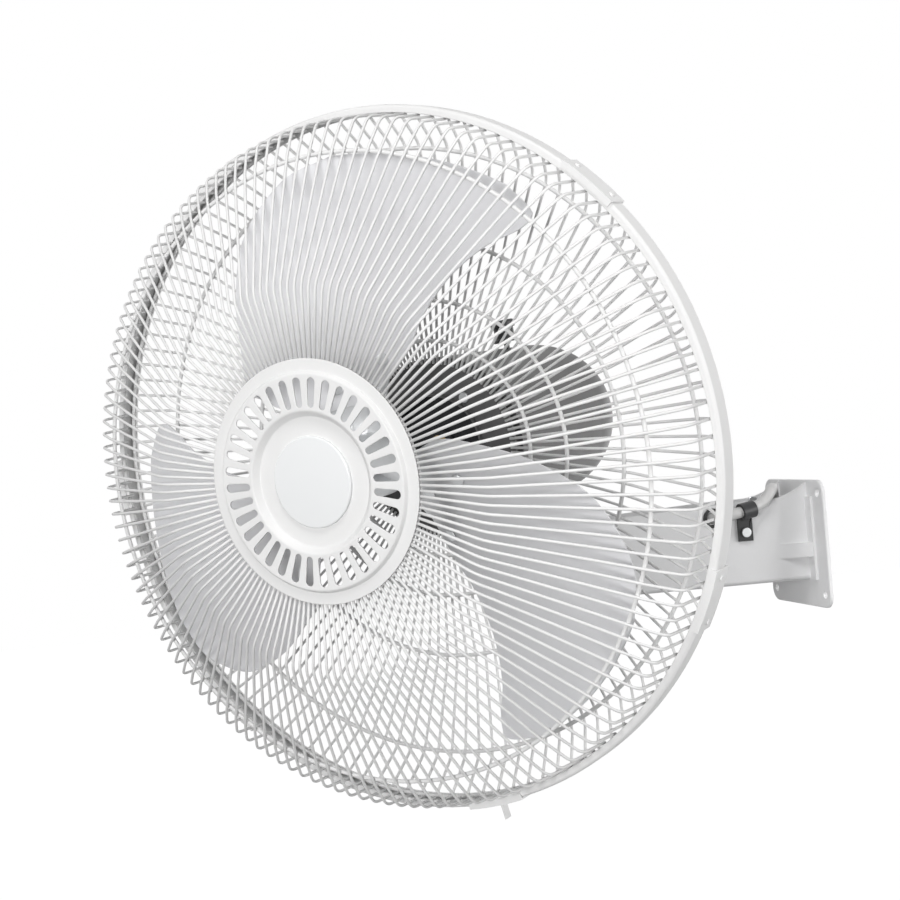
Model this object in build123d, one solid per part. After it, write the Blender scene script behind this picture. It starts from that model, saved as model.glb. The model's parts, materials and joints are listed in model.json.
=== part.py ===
from build123d import *
import os
from math import atan2, cos, pi, radians, sin

# Wall mounted fan.  Frame: origin at the centre of the wall plate's back face, +Y into the
# wall, +Z up.  The fan stands out along -Y.  Lengths are in mm, angles in degrees.

# ------------------------------------------------------------------ pose that is modelled
tilt_reach = 262.0  # wall face to the tilt bolt
head_height = 125.0  # tilt bolt to the fan axis, along the upright pivot
head_tilt = 8.0  # nose down from level
head_turn = 45.0  # turned to its right hand stop

# ------------------------------------------------------------------ running and seating fits
run_gap = 0.05  # radial clearance of a turning shaft
seat_gap = 0.05  # clearance of pieces that stay together
body_gap = 0.3  # clearance between pieces that move past each other

# ------------------------------------------------------------------ wall plate
plate_width = 120.0
plate_height = 116.0
plate_thick = 3.2
plate_corner = 12.0
plate_edge_round = 1.2
wall_hole_spacing_x = 100.0
wall_hole_spacing_z = 92.0
wall_hole_d = 7.0

# ------------------------------------------------------------------ bracket arm, an open channel
arm_width = 58.0
arm_sheet = 2.5
arm_bottom = -33.0
arm_top_at_plate = 56.5
arm_top_dip = 43.0  # where the straight top edge ends, before it curves up to the plate
arm_dip_reach = 55.0
arm_dip_sag = 5.5
arm_bend_round = 4.0
weld_flange = 12.0
gusset_out = 10.0
gusset_long = 36.0
gusset_high = 13.0
gusset_z = -5.0

# ------------------------------------------------------------------ tilt joint
tilt_bolt_d = 10.0
tilt_head_flats = 16.0
tilt_head_thick = 6.4
tilt_nut_thick = 8.0
washer_d = 22.0
washer_thick = 2.0
friction_disc_d = 34.0
friction_disc_thick = 2.5
lug_r = 19.0
lug_swing = 7.0  # room between the lug and the end of the arm's web
lead_window_wide = 12.0  # window in the back of the neck's lug, for the lead
lead_window_top = 13.5
lead_window_start = 8.0  # behind the tilt bolt's axis
lead_end_behind = 13.2

# ------------------------------------------------------------------ neck and upright pivot
neck_post_r = 15.0
neck_flange_r = 20.0
neck_flange_thick = 6.0
neck_rib_half = 4.0
pivot_pin_r = 7.0
pivot_pin_seat = 24.0
thrust_washer_thick = 2.0
pivot_groove_r = 5.2
pivot_groove_wide = 6.0
set_screw_r = 2.5

# ------------------------------------------------------------------ cord, grommet and clip
cord_d = 10.0
grommet_d = 18.0
grommet_clear = 1.4  # room for the lead, which starts to bend inside the bush
grommet_lip = 1.6
grommet_lip_thick = 2.0
clip_wide = 14.0
clip_thick = 2.4
clip_tab_drop = 20.0
clip_screw_d = 4.0
cable_hole_x = 4.0
cable_hole_z = 30.0
earth_screw_reach = 32.0
earth_screw_z = 40.0
small_head_d = 9.0
small_head_thick = 2.8

# ------------------------------------------------------------------ gearbox behind the motor
box_left = 18.0  # inner faces are one wall inside these outer faces
box_right = 36.0
box_back = 70.0
box_front = 26.0
box_bottom = 18.0
box_top = 24.0
box_wall = 4.0
lid_thick = 4.0
pivot_boss_r = 18.0
pivot_boss_bottom = 58.0
pivot_bore_top = 24.0
worm_pitch_r = 5.0
worm_root_r = 3.9
gear_module = 0.8
gear_teeth = 30
gear_thick = 8.0
gear_hub_r = 4.0
worm_overhang = 8.0
gear_ahead = -14.0
clutch_rod_r = 2.4
clutch_hole_r = 6.0
knob_r = 11.0
knob_high = 20.0
cover_post_r = 4.5

# ------------------------------------------------------------------ motor
shaft_r = 6.0
shaft_tip_r = 5.0
rotor_r = 35.6
air_gap = 0.4
core_r = 56.0
core_long = 34.0
core_back = 50.0
coil_inner = 40.0
coil_outer = 53.0
coil_long = 11.0
shield_wall = 3.7
shield_disc = 4.0
shield_disc_r = 62.0
bush_r = 10.0
bush_long = 18.0
front_boss_out = 5.0
bearing_boss_r = 15.0
cover_front_r = 76.0
cover_lip_r = 60.5  # the cover's front rim is turned in to here
cover_mid_r = 71.0
cover_mid_ahead = -66.0
cover_flat_r = 48.0
cover_back = 116.0
cover_sheet = 1.6
vent_count = 20
vent_wide = 3.4
vent_inner = 47.0
vent_outer = 62.0

# ------------------------------------------------------------------ guards
band_ahead = 195.0  # front edge of the clamp band, ahead of the upright pivot
band_r = 286.0
band_wide = 20.0
band_sheet = 1.2
band_lip = 4.7
front_wire = 2.4
front_wire_count = 144
front_flat_depth = 103.0
front_inner_r = 89.0
front_kink_r = 150.0
front_ring_inset = 24.6  # from the wires' outer ends
front_ring_depth = 47.0
front_shoulder_inset = 2.6
front_shoulder_depth = 32.0
rear_wire = 2.4
rear_wire_count = 120
rear_inner_r = 72.0
rear_flat_depth = 80.0
rear_kink_inset = 98.6
rear_kink_depth = 73.0
rear_bend_inset = 22.6
rear_bend_depth = 45.0
ring_thick = 3.4
mount_ring_inner = 44.0
mount_ring_outer = 76.0
mount_ring_sheet = 2.0
mount_ring_lip = 6.0
mount_screw_r = 52.5
mount_screw_count = 4
mount_boss_r = 7.0
mount_boss_long = 6.8
clip_angles = (38.0, 112.0, 176.0, 222.0, 330.0)
guard_clip_arc = 10.0
guard_clip_sheet = 1.5
latch_angle = 277.0
latch_tail = 14.0

# ------------------------------------------------------------------ hub plate of the front guard
hub_plate_r = 94.0
hub_plate_sheet = 1.2
hub_step_outer = 85.0
hub_step_inner = 83.0
hub_step_rise = 3.0
hub_recess_outer = 55.0
hub_recess_inner = 50.5
hub_recess_drop = 5.0
slot_count = 36
slot_inner = 57.5
slot_outer = 80.5
slot_inner_wide = 5.5
slot_outer_wide = 7.0
cap_r = 35.4
cap_thick = 2.6
cap_stud_r = 5.9

# ------------------------------------------------------------------ blades
blade_count = 3
blade_tip_r = 248.0
blade_root_r = 50.0
blade_sheet = 1.6
blade_low = 0.0  # near the leading edge, ahead of the band's front edge
blade_high = 68.0  # near the trailing edge
blade_from = 50.0  # the angles of those two depths, counted from the right hand side
blade_to = 120.0
blade_camber = 6.0
blade_centre = 92.0
blade_station = 12.0
# outline of a blade: (share of the tip radius, angle)
root_from, root_to = 78.0, 114.0
lead_edge = ((0.40, 60.0), (0.50, 58.6), (0.66, 54.0), (0.80, 48.6), (0.91, 43.6))
corner_middle = (0.965, 43.4)
tip_from, tip_to = 50.0, 84.0
trail_edge = ((0.96, 94.0), (0.84, 105.6), (0.68, 114.0), (0.52, 121.5), (0.40, 127.5))
spider_arm_sheet = 2.6
spider_arm_r = 108.0
spider_boss_r = 26.0
spider_boss_back = 8.0
spider_boss_front = 64.0
spider_tube_r = 12.0
spider_tube_back = -30.0
rivet_r = 3.0
rivet_head_r = 5.2
rivet_head_thick = 1.8
rivet_places = ((66.0, 4.0), (86.0, -20.0), (98.0, 17.0))
nut_flats = 17.0
nut_thick = 8.0

# ------------------------------------------------------------------ sizes that follow
ear_inner = arm_width / 2 - arm_sheet
lug_half = ear_inner - friction_disc_thick - body_gap
boss_bottom_above_tilt = head_height - pivot_boss_bottom
neck_top = boss_bottom_above_tilt - body_gap - thrust_washer_thick
gear_pitch_r = gear_module * gear_teeth / 2
gear_x = worm_pitch_r + gear_pitch_r
mount_ring_back = band_ahead - rear_flat_depth - rear_wire / 2 - mount_ring_sheet
shield_face = mount_ring_back - mount_boss_long
shield_back = shield_face - shield_disc
shield_split = core_back + core_long / 2
core_front = core_back + core_long
stator_bore = rotor_r + air_gap
wire_end_r = band_r - band_sheet - band_lip - front_wire / 2 - body_gap
front_ring_r = wire_end_r - front_ring_inset
front_shoulder_r = wire_end_r - front_shoulder_inset
rear_kink_r = wire_end_r - rear_kink_inset
rear_bend_r = wire_end_r - rear_bend_inset
outer_ring_inner = wire_end_r + front_wire / 2 + seat_gap
outer_ring_outer = band_r - band_sheet - body_gap
hub_flange_depth = front_flat_depth + front_wire / 2 + seat_gap + hub_plate_sheet / 2
hub_floor_depth = hub_flange_depth + hub_step_rise - hub_recess_drop
head_turning = Location((0, 0, head_height)) * Rotation(0, 0, head_turn)
neck_place = Location((0, -tilt_reach, 0)) * Rotation(head_tilt, 0, 0)
head_place = neck_place * head_turning
wall_place = Location((0, 0, 0))
facing = Plane.XZ  # looks along -Y, the way that the fan blows


# ------------------------------------------------------------------ building helpers
def ahead(sketch, start, length):
    """A sketch in the facing plane, pushed forward from `start` by `length`."""
    return extrude(facing.offset(start) * sketch, length)


def lathe(points):
    """A turned piece about the fan axis from (radius, distance ahead) points."""
    outline = Polyline([(r, -s) for r, s in points], close=True)
    return revolve(make_face(outline), Axis.Y, 360)


def strip(points, thick):
    """The outline of a sheet or wire `thick` wide that follows open (r, s) points."""
    left, right = [], []
    last = len(points) - 1
    for i, (r, s) in enumerate(points):
        before = points[max(i - 1, 0)]
        here = points[min(max(i, 1), last)]
        after = points[min(i + 1, last)]
        turn_in = atan2(here[1] - before[1], here[0] - before[0])
        from_here = points[min(i, last - 1)]
        turn_out = atan2(after[1] - from_here[1], after[0] - from_here[0])
        middle = (turn_in + turn_out) / 2
        reach = thick / 2 / cos((turn_out - turn_in) / 2)
        left.append((r - reach * sin(middle), s + reach * cos(middle)))
        right.append((r + reach * sin(middle), s - reach * cos(middle)))
    return left + right[::-1]


def around(angle):
    """A turn about the fan axis, counter-clockwise as seen from in front."""
    return Rotation(0, -angle, 0)


def polar(r, angle, s):
    """The point at radius `r` and `angle`, `s` ahead of the upright pivot."""
    return Vector(r * cos(radians(angle)), -s, r * sin(radians(angle)))


def ring_of(piece, count, first=0.0):
    """Copies of a piece at even steps about the fan axis, as separate solids."""
    return Compound([around(first + 360 * i / count) * piece for i in range(count)])


def rod(start, end, r):
    """A round bar from one point to another."""
    start, end = Vector(start), Vector(end)
    return Solid.make_cylinder(r, (end - start).length, Plane(origin=start, z_dir=end - start))


def tube(start, end, outer, inner):
    return rod(start, end, outer) - rod(start, end, inner)


def hex_bar(start, end, flats):
    start, end = Vector(start), Vector(end)
    sketch = RegularPolygon(flats / 2, 6, major_radius=False)
    return extrude(Plane(origin=start, z_dir=end - start) * sketch, (end - start).length)


def box(low, high):
    """A block between two corners, given as (across, ahead, up)."""
    size = [b - a for a, b in zip(low, high)]
    middle = [(a + b) / 2 for a, b in zip(low, high)]
    return Pos(middle[0], -middle[1], middle[2]) * Box(*size)


# ------------------------------------------------------------------ bracket on the wall
def wall_plate():
    sketch = RectangleRounded(plate_width, plate_height, plate_corner)
    sketch -= GridLocations(wall_hole_spacing_x, wall_hole_spacing_z, 2, 2) * Circle(wall_hole_d / 2)
    sketch -= Pos(cable_hole_x, cable_hole_z) * Circle(cord_d / 2 + body_gap)
    plate = ahead(sketch, 0, plate_thick)
    rim = plate.faces().sort_by(Axis.Y)[0].outer_wire().edges()
    return fillet(rim, plate_edge_round)


def arm_side_face():
    """The arm's side, in the plane of Y and Z."""
    nose_r = -arm_bottom
    root = -plate_thick
    dip = -arm_dip_reach
    middle = ((root + dip) / 2, (arm_top_dip + arm_top_at_plate) / 2 - arm_dip_sag)
    edges = [
        Line((root, arm_bottom), (-tilt_reach, arm_bottom)),
        ThreePointArc((-tilt_reach, arm_bottom), (-tilt_reach - nose_r, 0), (-tilt_reach, nose_r)),
        Line((-tilt_reach, nose_r), (dip, arm_top_dip)),
        ThreePointArc((dip, arm_top_dip), middle, (root, arm_top_at_plate)),
        Line((root, arm_top_at_plate), (root, arm_bottom)),
    ]
    return Plane.YZ * make_face(edges)


def channel_section():
    """The arm's folded section, open at the top."""
    high = arm_top_at_plate - arm_bottom
    outer = Pos(0, arm_bottom + high / 2) * Rectangle(arm_width, high)
    outer = fillet(outer.vertices().group_by(Axis.Y)[0], arm_bend_round)
    inner = Pos(0, arm_bottom + arm_sheet + high / 2) * Rectangle(2 * ear_inner, high)
    inner = fillet(inner.vertices().group_by(Axis.Y)[0], arm_bend_round - arm_sheet)
    return outer - inner


def bracket_arm():
    long = tilt_reach - arm_bottom
    arm = ahead(channel_section(), 0, long) & extrude(arm_side_face(), arm_width / 2, both=True)
    web_end = tilt_reach - lug_r - lug_swing
    arm -= box((-ear_inner, web_end, arm_bottom - 1), (ear_inner, long + 1, 0))
    edge = arm_width / 2
    for side in (-1, 1):
        flange = Rectangle(weld_flange, arm_top_dip - arm_bottom)
        at = Pos(side * (edge + weld_flange / 2 - arm_sheet / 2), (arm_top_dip + arm_bottom) / 2)
        arm += ahead(at * flange, plate_thick, arm_sheet)
        wedge = Polyline(
            [
                (side * (edge - arm_sheet / 2), -plate_thick - arm_sheet / 2),
                (side * (edge + gusset_out), -plate_thick - arm_sheet / 2),
                (side * (edge - arm_sheet / 2), -plate_thick - gusset_long),
            ],
            close=True,
        )
        arm += Pos(0, 0, gusset_z - gusset_high / 2) * extrude(make_face(wedge), gusset_high)
    arm -= rod((-edge - 1, -tilt_reach, 0), (edge + 1, -tilt_reach, 0), tilt_bolt_d / 2 + seat_gap)
    x, y, z = grommet_at()
    arm -= rod((0, y, z), (x + 1, y, z), grommet_d / 2 - grommet_lip)
    x, y, z = clip_screw_at()
    arm -= rod((0, y, z), (x + 1, y, z), clip_screw_d / 2 + seat_gap)
    y, z = -earth_screw_reach, earth_screw_z
    arm -= rod((0, y, z), (-edge - 1, y, z), clip_screw_d / 2 + seat_gap)
    return arm


def earth_screw():
    """The earth screw inside the far wall of the arm."""
    y, z = -earth_screw_reach, earth_screw_z
    face = -ear_inner + seat_gap
    screw = rod((face, y, z), (face + small_head_thick, y, z), small_head_d / 2)
    return screw + rod((face + 1, y, z), (-arm_width / 2 - 3, y, z), clip_screw_d / 2)


def tilt_bolt():
    reach = arm_width / 2 + washer_thick + 2 * seat_gap
    head_end = reach + tilt_head_thick
    tail = -reach - tilt_nut_thick - 3
    bolt = rod((tail, -tilt_reach, 0), (head_end - 1, -tilt_reach, 0), tilt_bolt_d / 2)
    return bolt + hex_bar((reach, -tilt_reach, 0), (head_end, -tilt_reach, 0), tilt_head_flats)


def tilt_nut():
    reach = -arm_width / 2 - washer_thick - 2 * seat_gap
    start, end = (reach, -tilt_reach, 0), (reach - tilt_nut_thick, -tilt_reach, 0)
    return hex_bar(start, end, tilt_head_flats) - rod(start, end, tilt_bolt_d / 2 + seat_gap)


def tilt_washers():
    start = arm_width / 2 + seat_gap
    ends = [(side * start, side * (start + washer_thick)) for side in (-1, 1)]
    hole = tilt_bolt_d / 2 + seat_gap
    y = -tilt_reach
    return Compound([tube((a, y, 0), (b, y, 0), washer_d / 2, hole) for a, b in ends])


def friction_discs():
    start = ear_inner - seat_gap
    ends = [(side * start, side * (start - friction_disc_thick)) for side in (-1, 1)]
    hole = tilt_bolt_d / 2 + seat_gap
    y = -tilt_reach
    return Compound([tube((a, y, 0), (b, y, 0), friction_disc_d / 2, hole) for a, b in ends])


# ------------------------------------------------------------------ cord on the arm
def grommet_at():
    """Where the cord leaves the arm's side, on its outer face."""
    return arm_width / 2, -96.0, 30.0


def clip_at():
    """The middle of the clip's loop, on the cord's line."""
    return arm_width / 2 + clip_thick + cord_d / 2 + 1.4, -66.0, 35.0


def clip_screw_at():
    x, y, z = clip_at()
    return arm_width / 2, y, z - clip_tab_drop


clip_x, clip_y, clip_z = clip_at()
cord_points = (
    (0.0, lead_end_behind - tilt_reach, 3.0),
    (0.5, -212.0, -5.0),
    (-1.0, -166.0, -3.0),
    (1.0, -128.0, 12.0),
    (6.0, -96.0, 30.0),
    (clip_x + 4.7, -96.0, 30.0),
    (clip_x - 2.4, -50.6, 37.6),
    (clip_x - 4.0, -38.0, 53.0),
    (clip_x - 23.0, -30.0, 52.0),
    (cable_hole_x, -21.0, cable_hole_z),
    (cable_hole_x, -0.2, cable_hole_z),
)


def corner_radii(points):
    """The largest even arc at each corner of the cord's route."""
    radii = []
    for before, corner, after in zip(points, points[1:], points[2:]):
        run_in, run_out = Vector(corner) - Vector(before), Vector(after) - Vector(corner)
        half = radians(run_in.get_angle(run_out) / 2)
        radii.append(0.45 * min(run_in.length, run_out.length) * cos(half) / sin(half))
    return radii


def power_cord():
    radii = corner_radii(cord_points)
    print("cord corner radii", [round(r, 1) for r in radii])
    route = FilletPolyline(*cord_points, radius=radii)
    start = Plane(origin=route @ 0, z_dir=route % 0)
    cord = sweep(start * Circle(cord_d / 2), path=route)
    ideal = route.length * pi * (cord_d / 2) ** 2
    print("cord length", round(route.length, 1), "volume share", round(cord.volume / ideal, 4))
    return cord


def cord_grommet():
    x, y, z = grommet_at()
    inside, lip = x - arm_sheet, grommet_lip_thick
    body = rod((inside - lip, y, z), (x + lip, y, z), grommet_d / 2 - grommet_lip - seat_gap)
    for inner, outer in ((inside - lip, inside - seat_gap), (x + seat_gap, x + lip)):
        body += rod((inner, y, z), (outer, y, z), grommet_d / 2)
    return body - rod((0, y, z), (2 * x, y, z), cord_d / 2 + grommet_clear)


def cable_clip():
    x, y, z = clip_at()
    inner = cord_d / 2 + body_gap
    lean = Vector(cord_points[6]) - Vector(cord_points[5])
    half = lean.normalized() * clip_wide / 2
    low, high = Vector(x, y, z) - half, Vector(x, y, z) + half
    ring = tube(low, high, inner + clip_thick, inner)
    face = arm_width / 2 + seat_gap
    tab_bottom = z - clip_tab_drop - 8
    tab = Pos(face + clip_thick / 2, y, (z + tab_bottom) / 2) * Box(clip_thick, clip_wide, z - tab_bottom)
    clip = ring + tab - rod(low - half, high + half, inner)
    sx, sy, sz = clip_screw_at()
    return clip - rod((sx - 1, sy, sz), (sx + 9, sy, sz), clip_screw_d / 2 + seat_gap)


def clip_screw():
    x, y, z = clip_screw_at()
    face = x + clip_thick + 2 * seat_gap
    screw = rod((face, y, z), (face + small_head_thick, y, z), small_head_d / 2)
    return screw + rod((x - arm_sheet - 4, y, z), (face + 1, y, z), clip_screw_d / 2)


# ------------------------------------------------------------------ neck, in its own frame
def neck_bracket():
    neck = rod((-lug_half, 0, 0), (lug_half, 0, 0), lug_r)
    neck += rod((0, 0, 0), (0, 0, neck_top), neck_post_r)
    neck += rod((0, 0, neck_top - neck_flange_thick), (0, 0, neck_top), neck_flange_r)
    rib_top = neck_top - neck_flange_thick
    foot = lug_half - neck_rib_half
    rib = [(-foot, 0), (foot, 0), (neck_post_r, rib_top), (-neck_post_r, rib_top)]
    neck += extrude(Plane.XZ * make_face(Polyline(rib, close=True)), neck_rib_half, both=True)
    neck -= rod((-lug_half - 1, 0, 0), (lug_half + 1, 0, 0), tilt_bolt_d / 2 + run_gap)
    neck -= rod((0, 0, neck_top - pivot_pin_seat), (0, 0, neck_top + 1), pivot_pin_r + seat_gap)
    half_wide = lead_window_wide / 2
    window = box((-half_wide, -lug_r - 1, -lug_r - 1), (half_wide, -lead_window_start, lead_window_top))
    return neck - window


def pin_groove_up():
    """Middle of the pin's groove, above the tilt bolt."""
    return head_height - (pivot_boss_bottom + pivot_bore_top) / 2


def pivot_pin():
    foot = neck_top - pivot_pin_seat + seat_gap
    top = head_height - pivot_bore_top - 2
    groove = pin_groove_up()
    pin = rod((0, 0, foot), (0, 0, top), pivot_pin_r)
    low, high = groove - pivot_groove_wide / 2, groove + pivot_groove_wide / 2
    return pin - tube((0, 0, low), (0, 0, high), pivot_pin_r + 1, pivot_groove_r)


def thrust_washer():
    hole = pivot_pin_r + seat_gap
    return tube((0, 0, neck_top), (0, 0, neck_top + thrust_washer_thick), pivot_boss_r, hole)


# ------------------------------------------------------------------ gearbox, in the head's frame
def cover_post_places():
    inset = cover_post_r
    xs = (inset - box_left, box_right - inset)
    zs = (inset - box_bottom, box_top - inset)
    return [(x, z) for x in xs for z in zs]


def gearbox_housing():
    w = box_wall
    house = box((-box_left, -box_back, -box_bottom), (box_right, box_front, box_top))
    house -= box((w - box_left, w - box_back, w - box_bottom), (box_right - w, box_front - w, box_top + 1))
    house += rod((0, 0, -pivot_boss_bottom), (0, 0, -box_bottom + 1), pivot_boss_r)
    house -= rod((0, 0, -pivot_boss_bottom - 1), (0, 0, -pivot_bore_top), pivot_pin_r + run_gap)
    house -= rod((0, 0, 0), (0, -box_front - 1, 0), shaft_r + body_gap)
    back_inner = cover_back - cover_sheet - seat_gap
    for x, z in cover_post_places():
        house += rod((x, box_back - 1, z), (x, back_inner, z), cover_post_r)
        house -= rod((x, back_inner - 10, z), (x, back_inner + 1, z), clip_screw_d / 2 + seat_gap)
    gear_y = -gear_ahead
    house -= rod((gear_x, gear_y, w - box_bottom - 2.5), (gear_x, gear_y, 0), gear_hub_r + run_gap)
    z = pin_groove_up() - head_height
    return house - rod((0, 0, z), (0, pivot_boss_r + 1, z), set_screw_r + seat_gap)


def gearbox_lid():
    low, high = (-box_left, -box_back, box_top), (box_right, box_front, box_top + lid_thick)
    lid = box(low, high)
    return lid - rod((gear_x, -gear_ahead, 0), (gear_x, -gear_ahead, high[2] + 1), gear_hub_r + run_gap)


def pivot_set_screw():
    z = pin_groove_up() - head_height
    return rod((0, pivot_groove_r + body_gap, z), (0, pivot_boss_r + 1.5, z), set_screw_r)


def worm_wheel():
    """The worm wheel: plain tapered teeth at the worm's pitch."""
    tip_r, root_r = gear_pitch_r + gear_module, gear_pitch_r - 1.1 * gear_module
    pitch = 360 / gear_teeth
    outline = []
    for i in range(gear_teeth):
        for r, offset in ((root_r, -0.30), (tip_r, -0.12), (tip_r, 0.12), (root_r, 0.30)):
            angle = radians((i + offset) * pitch)
            outline.append((r * cos(angle), r * sin(angle)))
    wheel = extrude(make_face(Polyline(outline, close=True)), gear_thick / 2, both=True)
    hub_foot = box_wall - box_bottom - 2
    wheel += rod((0, 0, hub_foot), (0, 0, box_top + lid_thick - 1), gear_hub_r)
    wheel -= rod((0, 0, -gear_thick), (0, 0, box_top + lid_thick), clutch_rod_r + run_gap)
    return Pos(gear_x, -gear_ahead, 0) * wheel


def clutch_knob():
    """The knob that is pulled up to stop the swing, on its rod."""
    x, y = gear_x, -gear_ahead
    rest = cover_front_r + 1
    knob = rod((x, y, rest), (x, y, rest + knob_high), knob_r)
    knob = fillet(knob.edges().filter_by(GeomType.CIRCLE).sort_by(Axis.Z)[-1], 2.5)
    waist = tube((x, y, rest + 3), (x, y, rest + knob_high - 7), knob_r + 1, knob_r - 2)
    return knob - waist + rod((x, y, -gear_thick + 1), (x, y, rest + 2), clutch_rod_r)


# ------------------------------------------------------------------ motor, in the head's frame
def bearing_shield(disc_from, disc_to, skirt_from, skirt_to, disc_r, boss_from, boss_to):
    skirt_r = core_r + seat_gap + shield_wall
    shield = ahead(Circle(disc_r), disc_from, disc_to - disc_from)
    shield += ahead(Circle(skirt_r) - Circle(core_r + seat_gap), skirt_from, skirt_to - skirt_from)
    shield += ahead(Circle(bearing_boss_r), boss_from, boss_to - boss_from)
    return shield - ahead(Circle(bush_r + seat_gap), boss_from - 30, boss_to - boss_from + 60)


def motor_rear_shield():
    disc_to, boss_to = box_front + shield_disc, box_front + bush_long
    skirt_r = core_r + seat_gap + shield_wall
    return bearing_shield(box_front, disc_to, disc_to - 1, shield_split, skirt_r, box_front, boss_to)


def motor_front_shield():
    start = shield_split + seat_gap
    boss_to = shield_face + front_boss_out
    boss_from = boss_to - bush_long
    shield = bearing_shield(
        shield_back, shield_face, start, shield_back + 1, shield_disc_r, boss_from, boss_to
    )
    for i in range(mount_screw_count):
        at = Rot(0, 0, 45 + 360 * i / mount_screw_count) * Pos(mount_screw_r, 0)
        shield += ahead(at * Circle(mount_boss_r), shield_face - 1, mount_boss_long + 1 - seat_gap)
        shield -= ahead(at * Circle(clip_screw_d / 2 + seat_gap), shield_back - 1, mount_boss_long + 9)
    return shield


def stator_core():
    return ahead(Circle(core_r) - Circle(stator_bore), core_back, core_long)


def stator_coils():
    ends = (core_back - coil_long - seat_gap, core_front + seat_gap)
    coils = [ahead(Circle(coil_outer) - Circle(coil_inner), s, coil_long) for s in ends]
    return Compound([fillet(c.edges(), 2.5) for c in coils])


def bush_at(start):
    return ahead(Circle(bush_r) - Circle(shaft_r + run_gap), start, bush_long - 2)


def motor_capacitor():
    """The run capacitor, strapped to the gearbox's plain side."""
    high = -box_left - seat_gap
    can = box((high - 16, -20, -14), (high, 20, 18))
    return fillet(can.edges().filter_by(Axis.Y), 3)


def cover_profile(inset):
    """Half outline of the motor cover, drawn in by `inset` all round."""
    front = shield_back - seat_gap
    back = inset - cover_back
    side = (cover_mid_r - inset, -cover_mid_ahead)
    bulge = (cover_mid_r - cover_flat_r - inset, cover_mid_ahead + cover_back - inset)
    edges = [
        Line((0, -front), (cover_front_r - inset, -front)),
        Line((cover_front_r - inset, -front), side),
        EllipticalCenterArc((cover_flat_r, -cover_mid_ahead), *bulge, 0, arc_size=90),
        Line((cover_flat_r, -back), (0, -back)),
        Line((0, -back), (0, -front)),
    ]
    return make_face(edges)


def motor_cover():
    cover = revolve(cover_profile(0), Axis.Y, 360) - revolve(cover_profile(cover_sheet), Axis.Y, 360)
    lip = Circle(cover_front_r - cover_sheet / 2) - Circle(cover_lip_r)
    cover += ahead(lip, shield_back - seat_gap - cover_sheet, cover_sheet)
    slot = Pos((vent_inner + vent_outer) / 2, 0) * SlotOverall(vent_outer - vent_inner, vent_wide)
    slots = Sketch() + [Rot(0, 0, 360 * i / vent_count) * slot for i in range(vent_count)]
    cover -= ahead(slots, -cover_back - 5, cover_back)
    cover -= rod((0, 0, -cover_front_r - 2), (0, 0, -20), neck_flange_r + 3)
    cover -= rod((gear_x, -gear_ahead, 20), (gear_x, -gear_ahead, cover_front_r + 2), clutch_hole_r)
    for x, z in cover_post_places():
        cover -= rod((x, 20, z), (x, cover_back + 2, z), clip_screw_d / 2 + seat_gap)
    return cover


def cover_screws():
    screws = []
    for x, z in cover_post_places():
        face = cover_back + seat_gap
        screw = rod((x, face, z), (x, face + small_head_thick, z), small_head_d / 2)
        screws.append(screw + rod((x, face - 10, z), (x, face + 1, z), clip_screw_d / 2))
    return Compound(screws)


def motor_shaft():
    worm_back = gear_ahead - gear_pitch_r - worm_overhang
    end = band_ahead + spider_boss_front + nut_thick + 4
    step = band_ahead + spider_boss_front - 12
    return lathe(
        [
            (0, worm_back),
            (worm_root_r, worm_back),
            (worm_root_r, box_front - box_wall),
            (shaft_r, box_front - box_wall),
            (shaft_r, step),
            (shaft_tip_r, step),
            (shaft_tip_r, end),
            (0, end),
        ]
    )


def rotor_core():
    core = ahead(Circle(rotor_r), core_back, core_long)
    core += ahead(Circle(rotor_r - 3), core_back - 4, core_long + 8)
    return core - ahead(Circle(shaft_r + seat_gap), core_back - 5, core_long + 10)


# ------------------------------------------------------------------ guards, in the head's frame
def front_path():
    depths = (
        (front_inner_r, front_flat_depth),
        (front_kink_r, front_flat_depth),
        (front_ring_r, front_ring_depth),
        (front_shoulder_r, front_shoulder_depth),
        (wire_end_r, -band_sheet - 3),
    )
    return [(r, band_ahead + a) for r, a in depths]


def rear_path():
    depths = (
        (rear_inner_r, -rear_flat_depth),
        (rear_kink_r, -rear_kink_depth),
        (rear_bend_r, -rear_bend_depth),
        (wire_end_r, 4 - band_wide),
    )
    return [(r, band_ahead + a) for r, a in depths]


def guard_wires(path, thick, count):
    outline = Polyline([(r, -s) for r, s in strip(path, thick)], close=True)
    return ring_of(extrude(make_face(outline), thick / 2, both=True), count)


def seated_ring(path, wire, r, inward):
    """A hoop of wire that lies against the guard's wires at radius `r`."""
    for (r0, s0), (r1, s1) in zip(path, path[1:]):
        if r0 <= r <= r1:
            slope = atan2(s1 - s0, r1 - r0)
            s = s0 + (r - r0) * (s1 - s0) / (r1 - r0)
    off = inward * (wire / 2 + seat_gap + ring_thick / 2)
    centre = (r - off * sin(slope), s + off * cos(slope))
    half = ring_thick / 2
    corners = []
    for along, across in ((-half, -half), (half, -half), (half, half), (-half, half)):
        dr = along * cos(slope) - across * sin(slope)
        ds = along * sin(slope) + across * cos(slope)
        corners.append((centre[0] + dr, centre[1] + ds))
    return lathe(corners)


def outer_ring(depth_from, depth_to):
    start, end = band_ahead + depth_from, band_ahead + depth_to
    ring = Circle(outer_ring_outer) - Circle(outer_ring_inner)
    return ahead(ring, start, end - start)


def front_guard_rings():
    path = front_path()
    rings = [seated_ring(path, front_wire, r, -1) for r in (front_inner_r + 3, front_ring_r - 3)]
    edge = -band_sheet - body_gap
    return Compound(rings + [outer_ring(edge - ring_thick, edge)])


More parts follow.
